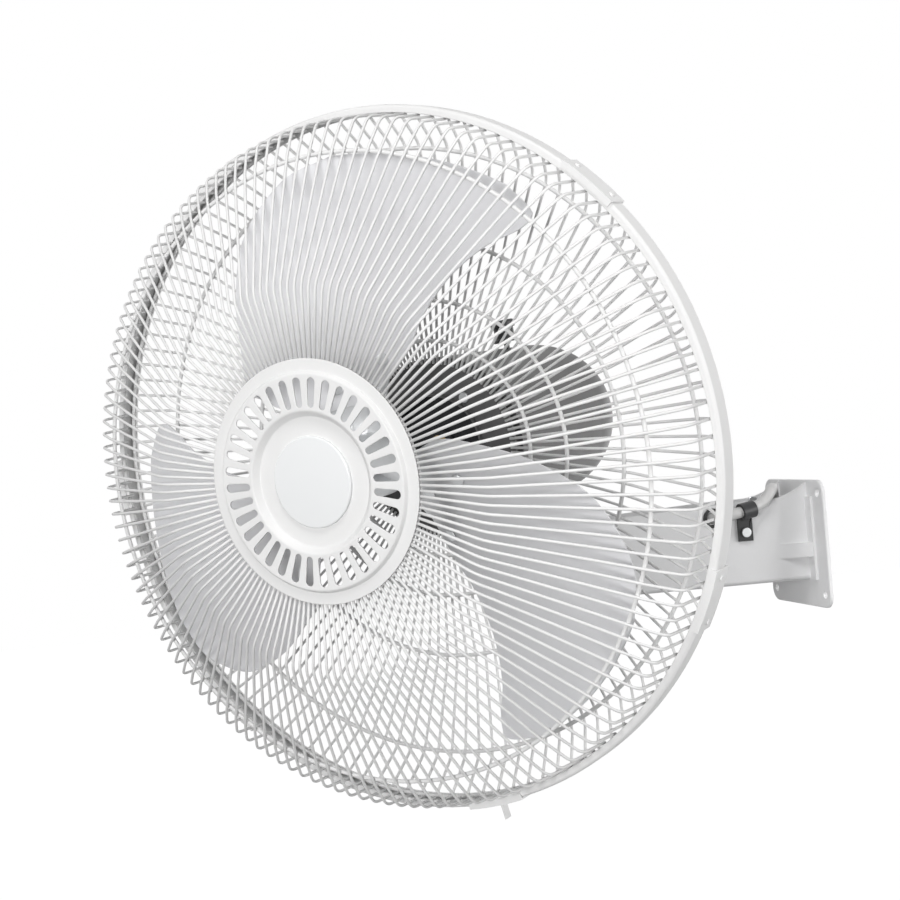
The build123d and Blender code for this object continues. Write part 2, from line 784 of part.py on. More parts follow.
def rear_guard_rings():
    path = rear_path()
    places = (rear_inner_r + 20, (rear_inner_r + rear_kink_r) / 2, rear_kink_r - 3, rear_bend_r - 3)
    rings = [seated_ring(path, rear_wire, r, 1) for r in places]
    edge = band_sheet + body_gap - band_wide
    return Compound(rings + [outer_ring(edge, edge + ring_thick)])


def guard_mount_ring():
    back, front = mount_ring_back, mount_ring_back + mount_ring_sheet
    inner = mount_ring_inner
    ring = lathe(
        [
            (inner, back),
            (mount_ring_outer, back),
            (mount_ring_outer, front),
            (inner + mount_ring_sheet, front),
            (inner + mount_ring_sheet, back + mount_ring_lip),
            (inner, back + mount_ring_lip),
        ]
    )
    for i in range(mount_screw_count):
        at = Rot(0, 0, 45 + 360 * i / mount_screw_count) * Pos(mount_screw_r, 0)
        ring -= ahead(at * Circle(clip_screw_d / 2 + seat_gap), back - 1, mount_ring_sheet + 2)
    return ring


def guard_mount_screws():
    face = mount_ring_back + mount_ring_sheet + seat_gap
    screw = ahead(Circle(small_head_d / 2), face, small_head_thick)
    screw += ahead(Circle(clip_screw_d / 2), face - 10, 11)
    return ring_of(Pos(mount_screw_r, 0, 0) * screw, mount_screw_count, 45)


def clamp_band():
    back, front = band_ahead - band_wide, band_ahead
    inner, lip_r = band_r - band_sheet, band_r - band_sheet - band_lip + seat_gap
    return lathe(
        [
            (band_r, back),
            (band_r, front),
            (lip_r, front),
            (lip_r, front - band_sheet),
            (inner, front - band_sheet),
            (inner, back + band_sheet),
            (lip_r, back + band_sheet),
            (lip_r, back),
        ]
    )


def guard_clip(angle, tail):
    """A folded clip over the band, with a pin head near each end."""
    back, front = band_ahead - band_wide - seat_gap, band_ahead + seat_gap
    sheet = guard_clip_sheet
    inner, outer = band_r + seat_gap, band_r + seat_gap + sheet
    lip_r = band_r - band_lip + 1
    outline = [
        (outer, back - sheet),
        (outer, front + sheet),
        (lip_r, front + sheet),
        (lip_r, front),
        (inner, front),
        (inner, back),
        (lip_r, back),
        (lip_r, back - sheet),
    ]
    face = make_face(Polyline([(r, -s) for r, s in outline], close=True))
    clip = around(angle - guard_clip_arc / 2) * revolve(face, -Axis.Y, guard_clip_arc)
    middle = band_ahead - band_wide / 2
    for side in (-0.35, 0.35):
        at = angle + side * guard_clip_arc
        clip += rod(polar(outer - 0.5, at, middle), polar(outer + 1.2, at, middle), 2)
    if tail:
        root = polar(outer - sheet / 2, angle, middle)
        start = Plane(origin=root, z_dir=polar(1, angle, 0), x_dir=(0, 1, 0))
        clip += extrude(start * Rectangle(8, sheet), latch_tail)
    return clip


def guard_clips():
    return Compound([guard_clip(angle, False) for angle in clip_angles])


def band_latch():
    return guard_clip(latch_angle, True)


def hub_plate():
    flange = band_ahead + hub_flange_depth
    raised = flange + hub_step_rise
    floor = band_ahead + hub_floor_depth
    centre_line = [
        (hub_plate_r, flange),
        (hub_step_outer, flange),
        (hub_step_inner, raised),
        (hub_recess_outer, raised),
        (hub_recess_inner, floor),
        (cap_stud_r + seat_gap, floor),
    ]
    plate = lathe(strip(centre_line, hub_plate_sheet))
    inner_end = Pos(slot_inner + slot_inner_wide / 2, 0) * Circle(slot_inner_wide / 2)
    outer_end = Pos(slot_outer - slot_outer_wide / 2, 0) * Circle(slot_outer_wide / 2)
    slot = make_hull((inner_end + outer_end).edges())
    slots = Sketch() + [Rot(0, 0, 360 * (i + 0.5) / slot_count) * slot for i in range(slot_count)]
    return plate - ahead(slots, floor, hub_step_rise + hub_recess_drop)


def centre_cap():
    back = band_ahead + hub_floor_depth + hub_plate_sheet / 2 + seat_gap
    cap = ahead(Circle(cap_r), back, cap_thick)
    cap = fillet(cap.edges().sort_by(Axis.Y)[0], 1.4)
    return cap + ahead(Circle(cap_stud_r - seat_gap), back - 5, 6)


# ------------------------------------------------------------------ blades, in the head's frame
def blade_depth(angle):
    """How far the blade's mid surface is ahead of the band's front edge at an angle."""
    u = (angle - blade_from) / (blade_to - blade_from)
    return blade_low + (blade_high - blade_low) * u - blade_camber * 4 * u * (1 - u)


def blade_slope(angle):
    """Rise of the mid surface for each radian."""
    u = (angle - blade_from) / (blade_to - blade_from)
    rise = (blade_high - blade_low) - 4 * blade_camber * (1 - 2 * u)
    return rise / radians(blade_to - blade_from)


def twisted_sheet(inner, outer, offset, thick, stations):
    """A sheet that winds up about the axis, made of one radial section at each angle."""
    sections = []
    for angle in stations:
        s = band_ahead + blade_depth(angle) + offset
        low, high = s - thick / 2, s + thick / 2
        ends = ((inner, low), (outer, low), (outer, high), (inner, high))
        corners = [polar(r, angle, depth) for r, depth in ends]
        sections.append(make_face(Polyline(corners, close=True)))
    return loft(sections, ruled=True)


def petal_outline():
    """The blade as seen from in front: swept tip, round corners."""

    def at(share, angle):
        return polar(share * blade_tip_r, angle, 0)

    root = blade_root_r / blade_tip_r
    lead = Spline(at(root, root_from), *[at(share, angle) for share, angle in lead_edge])
    corner = ThreePointArc(at(*lead_edge[-1]), at(*corner_middle), at(1, tip_from))
    tip = ThreePointArc(at(1, tip_from), at(1, (tip_from + tip_to) / 2), at(1, tip_to))
    trail = Spline(at(1, tip_to), *[at(share, angle) for share, angle in trail_edge], at(root, root_to))
    inner = ThreePointArc(at(root, root_to), at(root, (root_from + root_to) / 2), at(root, root_from))
    return make_face([lead, corner, tip, trail, inner])


def rivet_axis(r, offset):
    """Point and direction of one rivet through the blade and its arm."""
    angle = blade_centre + offset
    normal = polar(0, 0, 1) - polar(blade_slope(angle) / r, angle + 90, 0)
    middle = (spider_arm_sheet + seat_gap) / 2
    return polar(r, angle, band_ahead + blade_depth(angle) - middle), normal.normalized()


def rivet_holes():
    holes = []
    for r, offset in rivet_places:
        point, normal = rivet_axis(r, offset)
        holes.append(rod(point - normal * 12, point + normal * 12, rivet_r + seat_gap))
    return holes


def one_blade():
    stations = [blade_centre + blade_station * i for i in range(-5, 6)]
    sheet = twisted_sheet(blade_root_r - 8, blade_tip_r + 8, 0, blade_sheet, stations)
    petal = extrude(petal_outline(), band_ahead + 2 * blade_high, dir=(0, -1, 0))
    blade = (sheet & petal).solids().sort_by(SortBy.VOLUME)[-1]
    for hole in rivet_holes():
        blade -= hole
    return blade


def blade_set():
    return ring_of(one_blade(), blade_count)


def blade_spider():
    offset = -(blade_sheet + spider_arm_sheet) / 2 - seat_gap
    stations = [blade_centre + blade_station * i for i in range(-2, 3)]
    arm = twisted_sheet(spider_tube_r + 2, spider_arm_r, offset, spider_arm_sheet, stations)
    for hole in rivet_holes():
        arm -= hole
    front, back = band_ahead + spider_boss_front, band_ahead + spider_tube_back
    boss_from = band_ahead + spider_boss_back
    spider = ahead(Circle(spider_boss_r), boss_from, front - boss_from)
    spider += ahead(Circle(spider_tube_r), back, front - back)
    for i in range(blade_count):
        spider += around(360 * i / blade_count) * arm
    spider -= ahead(Circle(shaft_r + seat_gap), back - 1, front - back + 2)
    return spider & ahead(Circle(spider_arm_r + 1), back, front - back)


def blade_rivets():
    rivets = []
    stack = (blade_sheet + spider_arm_sheet) / 2 + 2 * seat_gap
    for r, offset in rivet_places:
        point, normal = rivet_axis(r, offset)
        low, high = point - normal * stack, point + normal * stack
        rivet = rod(low, high, rivet_r)
        rivet += rod(low - normal * rivet_head_thick, low + normal * 0.01, rivet_head_r)
        rivet += rod(high - normal * 0.01, high + normal * rivet_head_thick, rivet_head_r)
        rivets.append(rivet)
    turns = [around(360 * i / blade_count) for i in range(blade_count)]
    return Compound([turn * rivet for turn in turns for rivet in rivets])


def hub_nut():
    start = band_ahead + spider_boss_front + seat_gap
    nut = hex_bar((0, -start, 0), (0, -start - nut_thick, 0), nut_flats)
    return nut - rod((0, 0, 0), (0, -start - nut_thick - 1, 0), shaft_tip_r + seat_gap)


# ------------------------------------------------------------------ one file for each sub-part
pieces = {
    wall_place: {
        "wall_plate": wall_plate,
        "bracket_arm": bracket_arm,
        "earth_screw": earth_screw,
        "tilt_bolt": tilt_bolt,
        "tilt_nut": tilt_nut,
        "tilt_washers": tilt_washers,
        "friction_discs": friction_discs,
        "power_cord": power_cord,
        "cord_grommet": cord_grommet,
        "cable_clip": cable_clip,
        "clip_screw": clip_screw,
    },
    neck_place: {
        "neck_bracket": neck_bracket,
        "pivot_pin": pivot_pin,
        "thrust_washer": thrust_washer,
    },
    head_place: {
        "gearbox_housing": gearbox_housing,
        "gearbox_lid": gearbox_lid,
        "pivot_set_screw": pivot_set_screw,
        "worm_wheel": worm_wheel,
        "clutch_knob": clutch_knob,
        "motor_rear_shield": motor_rear_shield,
        "motor_front_shield": motor_front_shield,
        "stator_core": stator_core,
        "stator_coils": stator_coils,
        "rear_bush": lambda: bush_at(box_front + 1),
        "front_bush": lambda: bush_at(shield_face + front_boss_out - bush_long + 1),
        "motor_capacitor": motor_capacitor,
        "motor_cover": motor_cover,
        "cover_screws": cover_screws,
        "motor_shaft": motor_shaft,
        "rotor_core": rotor_core,
        "guard_mount_ring": guard_mount_ring,
        "guard_mount_screws": guard_mount_screws,
        "rear_guard_wires": lambda: guard_wires(rear_path(), rear_wire, rear_wire_count),
        "rear_guard_rings": rear_guard_rings,
        "front_guard_wires": lambda: guard_wires(front_path(), front_wire, front_wire_count),
        "front_guard_rings": front_guard_rings,
        "hub_plate": hub_plate,
        "centre_cap": centre_cap,
        "clamp_band": clamp_band,
        "guard_clips": guard_clips,
        "band_latch": band_latch,
        "blades": blade_set,
        "blade_spider": blade_spider,
        "blade_rivets": blade_rivets,
        "hub_nut": hub_nut,
    },
}

os.makedirs("parts", exist_ok=True)
for place, group in pieces.items():
    for name, make in group.items():
        export_step(place * make(), f"parts/{name}.step")
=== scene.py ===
# %% [markdown]
# # A wall mounted fan, dressed for its picture
#
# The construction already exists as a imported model: every part at its real size, with its
# joints.  This lesson puts the real surfaces on it.  Thin steel wire is round, pressed sheet
# has soft edges, paint has a faint grain, and a lead bends in one smooth line.  Each step
# takes one piece or one kind of finish, says how the real thing is made, and makes it.
#
# All lengths are in metres, in the same frame as the construction: the wall is the plane
# y = 0, the fan stands out along -Y, and +Z is up.

# %% Load the frame
import json
from math import asin, atan2, cos, degrees, pi, radians, sin, tan

import bmesh
import bpy
from mathutils import Matrix, Vector


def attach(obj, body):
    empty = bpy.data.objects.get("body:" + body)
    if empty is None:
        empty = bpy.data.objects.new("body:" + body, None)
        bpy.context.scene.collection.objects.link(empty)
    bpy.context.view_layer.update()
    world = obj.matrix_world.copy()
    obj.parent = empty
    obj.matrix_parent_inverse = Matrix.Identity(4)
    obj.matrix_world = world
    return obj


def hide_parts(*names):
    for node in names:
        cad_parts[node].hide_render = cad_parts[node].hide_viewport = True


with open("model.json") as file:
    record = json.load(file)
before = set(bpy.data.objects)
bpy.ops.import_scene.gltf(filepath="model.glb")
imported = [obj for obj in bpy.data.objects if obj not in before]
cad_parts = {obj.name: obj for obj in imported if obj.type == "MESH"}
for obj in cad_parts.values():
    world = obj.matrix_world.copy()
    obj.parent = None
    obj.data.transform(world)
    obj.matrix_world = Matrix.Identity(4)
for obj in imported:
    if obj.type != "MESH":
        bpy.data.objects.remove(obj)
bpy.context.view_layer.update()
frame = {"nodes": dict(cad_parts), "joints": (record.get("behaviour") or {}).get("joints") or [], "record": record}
mm = 0.001

# %% [markdown]
# ## Where the head points
#
# The head is tilted and turned, so nothing on it is square to the room.  The joints say
# exactly how: the spin joint lies on the fan's axis and points ahead, and the swing joint
# is the upright pivot.  From those two directions comes one matrix, and every piece of the
# head is drawn in plain head coordinates, as (across, behind, up), and then placed by it.

# %% The head's own axes
joints = {joint["name"]: joint for joint in frame["joints"]}
ahead = Vector(joints["rotor_spin"]["axis"]).normalized()
upright = Vector(joints["head_swing"]["axis"]).normalized()
centre = Vector(joints["rotor_spin"]["pos_m"])
across = (-ahead).cross(upright)
head = Matrix.Translation(centre) @ Matrix((across, -ahead, upright)).transposed().to_4x4()
level = Matrix.Identity(4)
print("the fan points along", [round(c, 3) for c in ahead])

# %% [markdown]
# ## The camera comes first
#
# The photograph was taken from the fan's left front, from close by, with the camera held
# slightly off level.  The lens is shifted a little sideways and down, as if the picture had been
# cut from a wider one.  Placing the camera first means that every later choice is judged in the
# view that counts.

# %% Camera
camera_at = Vector((1.4723, -0.6950, 0.1209))
camera_yaw, camera_pitch, camera_roll = 79.78, -2.14, 4.19
focal_in_pixels = 1679.8
frame_in_pixels = 900.0
shift_in_pixels = (-116.6, -67.5)


def look(yaw, pitch, roll):
    """The camera's turn: yaw from +Y towards -X, pitch down, and roll about the view."""
    y, p, r = radians(yaw), radians(pitch), radians(roll)
    view = Vector((-sin(y) * cos(p), cos(y) * cos(p), -sin(p)))
    right = Vector((cos(y), sin(y), 0))
    top = right.cross(view)
    turned_right = cos(r) * right - sin(r) * top
    turned_top = sin(r) * right + cos(r) * top
    return Matrix((turned_right, turned_top, -view)).transposed().to_4x4()


camera_data = bpy.data.cameras.new("camera")
camera_data.sensor_width = 36.0
camera_data.lens = focal_in_pixels / frame_in_pixels * camera_data.sensor_width
camera_data.shift_x = -shift_in_pixels[0] / frame_in_pixels
camera_data.shift_y = shift_in_pixels[1] / frame_in_pixels
camera = bpy.data.objects.new("camera", camera_data)
camera.matrix_world = Matrix.Translation(camera_at) @ look(camera_yaw, camera_pitch, camera_roll)
bpy.context.scene.collection.objects.link(camera)
bpy.context.scene.camera = camera
print("lens of", round(camera_data.lens, 1), "mm")

# %% [markdown]
# ## Shader maths as plain sums
#
# A material here is a few sums on noise.  Node graphs hide such sums, so a small class wraps a
# socket: `grain * 0.1 + 0.9` adds the Math nodes for itself.  Each operator has its reflected
# form too, so `1 - grain` works as well.


# %% A socket that can be added and multiplied
class Value:
    """What comes out of one node, ready for sums and for the inputs of other nodes."""

    def __init__(self, tree, socket):
        self.tree = tree
        self.socket = socket

    def _sum(self, operation, first, second, clamp=False):
        settings = {"operation": operation, "use_clamp": clamp}
        return self.tree.make("ShaderNodeMath", settings, {0: first, 1: second})

    def __add__(self, other):
        return self._sum("ADD", self, other)

    def __radd__(self, other):
        return self._sum("ADD", other, self)

    def __sub__(self, other):
        return self._sum("SUBTRACT", self, other)

    def __rsub__(self, other):
        return self._sum("SUBTRACT", other, self)

    def __mul__(self, other):
        return self._sum("MULTIPLY", self, other)

    def __rmul__(self, other):
        return self._sum("MULTIPLY", other, self)

    def clamped(self):
        return self._sum("ADD", self, 0.0, clamp=True)


# %% [markdown]
# ## One way to make a node
#
# Materials and the sky are trees of nodes.  A new node has a type, a few settings, and inputs
# that are plain values or links from other nodes.  `make` takes just these, so that every node
# in the lesson is made alike and in one line.


# %% A tree of nodes
class Nodes:
    """The nodes of one material, or of the sky."""

    def __init__(self, owner):
        owner.use_nodes = True
        self.nodes = owner.node_tree.nodes
        self.links = owner.node_tree.links

    def make(self, kind, settings, inputs, output=0):
        """A new node, as the value of one of its outputs."""
        node = self.nodes.new(kind)
        for key, value in settings.items():
            setattr(node, key, value)
        for key, value in inputs.items():
            self.plug(node, key, value)
        return Value(self, node.outputs[output])

    def plug(self, node, key, value):
        """Gives one input of a node a plain value, or a link from another node."""
        if isinstance(value, Value):
            self.links.new(value.socket, node.inputs[key])
        else:
            node.inputs[key].default_value = value


# %% [markdown]
# ## One material
#
# Every finish on the fan needs the same few things: noise, a colour between two, a roughness
# that varies, and a fine relief.  Each is one method here, so that a finish reads like a recipe.


# %% A material and the nodes that feed it
class Shader(Nodes):
    """One material, with its surface shader and the nodes that feed it."""

    def __init__(self, name, **constants):
        self.material = bpy.data.materials.new(name)
        super().__init__(self.material)
        self.surface = self.nodes["Principled BSDF"]
        for socket, value in constants.items():
            self.feed(socket.replace("_", " "), value)

    def feed(self, socket, value):
        self.plug(self.surface, socket, value)

    def noise(self, size, detail):
        """Cloudy noise whose blotches are about `size` metres across."""
        place = self.make("ShaderNodeTexCoord", {}, {}, "Object")
        inputs = {"Vector": place, "Scale": 1 / size, "Detail": detail}
        return self.make("ShaderNodeTexNoise", {}, inputs, "Fac")

    def colour(self, share, first, second):
        """The first colour where the share is 0 and the second where it is 1."""
        inputs = {0: share, 6: (*first, 1.0), 7: (*second, 1.0)}  # the colour sockets are 6 and 7
        self.feed("Base Color", self.make("ShaderNodeMix", {"data_type": "RGBA"}, inputs, 2))

    def rough(self, pattern, middle, spread):
        """Roughness that follows a pattern, `spread` wide about its middle value."""
        self.feed("Roughness", middle + spread * (pattern - 0.5))

    def bump(self, height, depth):
        """Turns a height, of `depth` metres from 0 to 1, into the surface's normal."""
        inputs = {"Strength": 1.0, "Distance": depth, "Height": height}
        self.feed("Normal", self.make("ShaderNodeBump", {}, inputs, "Normal"))


# %% [markdown]
# ## Paint and powder
#
# Powder coat is melted plastic dust.  It flows almost level and leaves a faint orange peel of
# about a millimetre, which breaks up its reflections.  Dust and handling grey it a little, in
# wide soft clouds.  One function makes every painted finish, so that they stay a family.


# %% Painted finishes
cloud_size, speck_size, speck_share = 60 * mm, 2.2 * mm, 0.02
sheen_size, sheen_spread = 25 * mm, 0.12
shade_gain = 8  # turns a few percent of shade into a share from 0 to 1


def paint(name, colour, roughness, peel=1.4 * mm, peel_depth=0.012 * mm, cloud=0.04, shine=0.3):
    """Enamel or powder coat: soft clouds in the colour, orange peel in the surface."""
    shader = Shader(name, Specular_IOR_Level=shine)
    clouds, specks = shader.noise(cloud_size, 3), shader.noise(speck_size, 1)
    shade = 2 * cloud * (clouds - 0.5) + speck_share * (specks - 0.5)
    darker = tuple(c * (1 - 2 * cloud) for c in colour)
    lighter = tuple(min(1.0, c * (1 + cloud)) for c in colour)
    shader.colour((0.5 + shade_gain * shade).clamped(), darker, lighter)
    shader.rough(shader.noise(sheen_size, 2), roughness, sheen_spread)
    shader.bump(shader.noise(peel, 1), peel_depth)
    return shader.material


paints = [
    paint("powder_white", (0.79, 0.788, 0.785), 0.42, shine=0.2),
    paint("bracket_paint", (0.82, 0.82, 0.825), 0.35, shine=0.4),
    paint("blade_paint", (0.72, 0.72, 0.735), 0.42, cloud=0.03),
    # Painted shade: the grey-white enamel cover is made near black for the shade it sits in.
    paint("cover_paint", (0.12, 0.119, 0.119), 0.5),
    paint("black_enamel", (0.02, 0.021, 0.024), 0.4),
    paint("cap_white", (0.80, 0.81, 0.815), 0.24, peel=4 * mm, cloud=0.015, shine=0.5),
]
print("painted finishes:", len(paints))

# %% [markdown]
# ## Bare metal, plastic and rubber
#
# Zinc plate is bright with a fine spangle, ground steel has a fine even grain, and castings are
# dull and gritty.  Plastics and rubber are matt and slightly uneven.  In both families one fine
# noise drives the roughness and the bump, because grit that stands up is also what scatters
# light.


# %% Other finishes
def gritty(name, colour, roughness, grain, depth, clouds, dark, spread, **constants):
    """A finish whose fine grit shows in its roughness and its surface."""
    shader = Shader(name, **constants)
    grit = shader.noise(grain, 2)
    shader.colour(shader.noise(*clouds), tuple(c * dark for c in colour), colour)
    shader.rough(grit, roughness, spread)
    shader.bump(grit, depth)
    return shader.material


def metal(name, colour, roughness, grain=0.6 * mm, depth=0.01 * mm):
    look = {"clouds": (12 * mm, 3), "dark": 0.82, "spread": 0.16, "Metallic": 1.0}
    return gritty(name, colour, roughness, grain, depth, **look)


def moulding(name, colour, roughness, grain=0.8 * mm, depth=0.015 * mm):
    look = {"clouds": (15 * mm, 2), "dark": 0.8, "spread": 0.14}
    return gritty(name, colour, roughness, grain, depth, **look)


metals = [
    metal("steel_zinc", (0.66, 0.67, 0.68), 0.32),
    metal("steel_ground", (0.60, 0.60, 0.61), 0.22, grain=0.3 * mm),
    metal("casting", (0.50, 0.50, 0.51), 0.5, grain=1.2 * mm, depth=0.05 * mm),
    metal("lamination", (0.30, 0.31, 0.33), 0.45),
    metal("bronze", (0.62, 0.45, 0.22), 0.4),
]
mouldings = [
    moulding("black_plastic", (0.018, 0.018, 0.02), 0.42),
    moulding("gear_plastic", (0.78, 0.76, 0.68), 0.4),
    moulding("washer_nylon", (0.80, 0.79, 0.74), 0.45),
    moulding("cord_pvc", (0.66, 0.655, 0.65), 0.36, grain=1.5 * mm),
    moulding("grommet_rubber", (0.022, 0.022, 0.022), 0.6),
    moulding("copper_varnish", (0.42, 0.19, 0.08), 0.3),
    moulding("can_film", (0.72, 0.72, 0.70), 0.3),
]
# The frame has plain materials of the same names, so Blender numbers these: "bronze.001".
finish_of_slot = {finish.name.split(".")[0]: finish for finish in paints + metals + mouldings}
print("metals:", len(metals), "mouldings:", len(mouldings))

# %% [markdown]
# ## Dressing what the frame already has right
#
# Many parts need no new shape: the bushes, the windings, the worm wheel, the shaft.  The record
# says which finish each part takes, so one loop paints them all.  A piece that is made later
# hides the plain part that it stands for.

# %% Paint the frame's own parts
slot_of_node = {part["node"]: part["material_slot"] for part in frame["record"]["subparts"]}
for name, node in frame["nodes"].items():
    node.data.materials.clear()
    node.data.materials.append(finish_of_slot[slot_of_node[name]])
print("painted", len(slot_of_node), "parts of the frame")

# %% [markdown]
# ## How a new piece joins the frame
#
# A mesh alone would stay behind when a joint moves, and would sit on top of the plain part that
# it is meant to replace.  So each new piece says three things: the body it rides on, the finish
# it wears, and the parts of the frame that it stands for.


# %% Pieces
def add_piece(name, points, faces, body, slot, node_names, place=level):
    """One finished mesh, which rides on its body and stands for the frame's nodes."""
    mesh = bpy.data.meshes.new(name)
    mesh.from_pydata([place @ Vector(p) for p in points], [], faces)
    mesh.validate()
    shade_smooth(mesh)
    return adopt(name, mesh, body, slot, node_names)


def adopt(name, mesh, body, slot, node_names):
    """Makes an object of a mesh, gives it its finish, hangs it on its body and hides the parts it stands for."""
    piece = bpy.data.objects.new(name, mesh)
    bpy.context.scene.collection.objects.link(piece)
    mesh.materials.clear()
    mesh.materials.append(finish_of_slot[slot])
    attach(piece, body)
    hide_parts(*node_names)
    return piece


def shade_smooth(mesh):
    for polygon in mesh.polygons:
        polygon.use_smooth = True


# %% [markdown]
# ## Two ways to make a mesh
#
# Nearly everything on a fan is either turned about its axis or is one profile swept along a
# line.  Modifiers could do both, but plain points keep every size in sight.  `lathe` turns an
# outline about the axis, and `sweep_in_plane` runs a round wire along a path.  `rounded` bends
# a sharp line first, as a press brake or a wire bender would.


# %% Bent lines and turned shapes
straight = 0.01  # radians; a corner flatter than this isn't rounded


def rounded(points, radii, steps=5):
    """An open line of 2-D points with its inner corners rounded to the given radii."""
    line = [points[0]]
    for before, corner, after, radius in zip(points, points[1:], points[2:], radii):
        back = (Vector(before) - Vector(corner)).normalized()
        on = (Vector(after) - Vector(corner)).normalized()
        half = back.angle(on) / 2
        if abs(half - pi / 2) < straight:
            line.append(corner)
            continue
        reach = radius / tan(half)
        middle = Vector(corner) + (back + on).normalized() * radius / sin(half)
        start, end = Vector(corner) + back * reach, Vector(corner) + on * reach
        a, b = start - middle, end - middle
        sweep_angle = a.angle_signed(b)
        for i in range(steps + 1):
            turn = Matrix.Rotation(-sweep_angle * i / steps, 2)
            line.append(tuple(middle + turn @ a))
    line.append(points[-1])
    return line


def lathe(outline, steps, closed=True):
    """Points and faces of an outline of (radius, ahead) turned about the fan's axis."""
    points, faces = [], []
    count = len(outline)
    for i in range(steps):
        a = 2 * pi * i / steps
        points += [(r * cos(a), -s, r * sin(a)) for r, s in outline]
    for i in range(steps):
        here, there = i * count, (i + 1) % steps * count
        for j in range(count if closed else count - 1):
            k = (j + 1) % count
            faces.append((here + j, here + k, there + k, there + j))
    return points, faces


# %% Swept wires
def round_section(radius, sides):
    turns = [2 * pi * i / sides for i in range(sides)]
    return [(radius * cos(a), radius * sin(a)) for a in turns]


def sweep_in_plane(path, angle, radius, sides):
    """A round wire whose path of (radius, ahead) lies in the half plane at one angle."""
    section = round_section(radius, sides)
    out = Vector((cos(angle), 0, sin(angle)))
    side = Vector((-sin(angle), 0, cos(angle)))
    forward = Vector((0, -1, 0))
    points, faces = [], []
    for i, (r, s) in enumerate(path):
        before, after = path[max(i - 1, 0)], path[min(i + 1, len(path) - 1)]
        run = Vector((after[0] - before[0], after[1] - before[1])).normalized()
        lift = run.x * forward - run.y * out
        points += [out * r + forward * s + side * u + lift * v for u, v in section]
    for i in range(len(path) - 1):
        for j in range(sides):
            k = (j + 1) % sides
            faces.append((i * sides + j, i * sides + k, (i + 1) * sides + k, (i + 1) * sides + j))
    faces.append(tuple(range(sides))[::-1])
    faces.append(tuple((len(path) - 1) * sides + j for j in range(sides)))
    return points, faces


def joined(parts):
    """Several (points, faces) as one."""
    points, faces = [], []
    for some_points, some_faces in parts:
        start = len(points)
        points += some_points
        faces += [tuple(start + i for i in face) for face in some_faces]
    return points, faces


# %% [markdown]
# ## The wire guards
#
# A guard is made of straight wires, bent in a press and spot welded to hoops.  Real guard wire
# is round, and each bend has a radius, which is where the light runs along it.  The frame holds
# plain square wires with sharp bends.  The new ones lie on the same path, rounded.  The front
# guard is the deep one, because the blades turn inside it.

# %% Guard sizes
band_ahead, band_r, band_wide = 195 * mm, 286 * mm, 20 * mm
band_sheet, band_lip = 1.2 * mm, 4.7 * mm
wire_r, hoop_r = 1.2 * mm, 1.7 * mm
wire_sides, hoop_sides, hoop_steps = 8, 10, 180
wire_gap = 0.3 * mm  # between the wires' ends and the band's lip
wire_end_r = band_r - band_sheet - band_lip - wire_r - wire_gap
rim_hoop_in = 3.2 * mm  # from the band's edge
hoop_in = 3 * mm  # from a bend in the wires, towards the middle

# Each line is one wire's path, from the middle out, as points of (radius, depth).  A depth is
# counted ahead of the band's front edge.
front_wire_count, front_inner_r, front_flat = 144, 89 * mm, 103 * mm
front_kink_r, front_bend_r = 150 * mm, wire_end_r - 24.6 * mm
front_shoulder_r = wire_end_r - 2.6 * mm
front_line = (
    (front_inner_r, front_flat),
    (front_kink_r, front_flat),
    (front_bend_r, 47 * mm),
    (front_shoulder_r, 32 * mm),
    (wire_end_r, -4.2 * mm),
)
rear_wire_count, rear_inner_r = 120, 72 * mm
rear_kink_r, rear_bend_r = wire_end_r - 98.6 * mm, wire_end_r - 22.6 * mm
rear_line = (
    (rear_inner_r, -80 * mm),
    (rear_kink_r, -73 * mm),
    (rear_bend_r, -45 * mm),
    (wire_end_r, -16 * mm),
)
print("the wires end", round(wire_end_r / mm, 1), "mm from the axis")


# %% Wires and hoops
def guard_wires(line, radii, count):
    """All the wires of one guard, with their bends rounded to the given radii."""
    path = [(r, s + band_ahead) for r, s in rounded(line, radii)]
    turns = [2 * pi * i / count for i in range(count)]
    return joined(sweep_in_plane(path, turn, wire_r, wire_sides) for turn in turns)


def hoop(radius, depth):
    """A round hoop; `depth` is ahead of the band's front edge."""
    section = [(radius + u, band_ahead + depth + v) for u, v in round_section(hoop_r, hoop_sides)]
    return lathe(section, hoop_steps)


def on_line(line, r):
    """The depth and the slope of a guard's line at a radius."""
    for (r0, s0), (r1, s1) in zip(line, line[1:]):
        if r0 <= r <= r1:
            return s0 + (r - r0) * (s1 - s0) / (r1 - r0), atan2(s1 - s0, r1 - r0)


def seated_hoop(line, r, inward):
    """A hoop that lies against the wires at radius `r`, on their inner side."""
    depth, slope = on_line(line, r)
    off = inward * (wire_r + hoop_r)
    return hoop(r - off * sin(slope), depth + off * cos(slope))


# %% Front guard
add_piece(
    "front_guard_wires_round",
    *guard_wires(front_line, (26 * mm, 34 * mm, 14 * mm), front_wire_count),
    "head", "powder_white", ["front_guard_wires"], head,
)
rim_r = wire_end_r + wire_r + hoop_r
front_hoop_places = (front_inner_r + hoop_in, front_bend_r - hoop_in)
front_hoops = [seated_hoop(front_line, r, -1) for r in front_hoop_places]
front_hoops.append(hoop(rim_r, -rim_hoop_in))
add_piece(
    "front_guard_hoops", *joined(front_hoops), "head", "powder_white", ["front_guard_rings"], head
)
print("front guard:", front_wire_count, "wires and", len(front_hoops), "hoops")

# %% [markdown]
# ## The rear guard
#
# The rear guard is flatter and has fewer wires.  It has more hoops, because it also carries the
# front guard and the band.  They lie on the wires' inner side, as in front, and the outermost
# one sits in the band beside the front guard's.

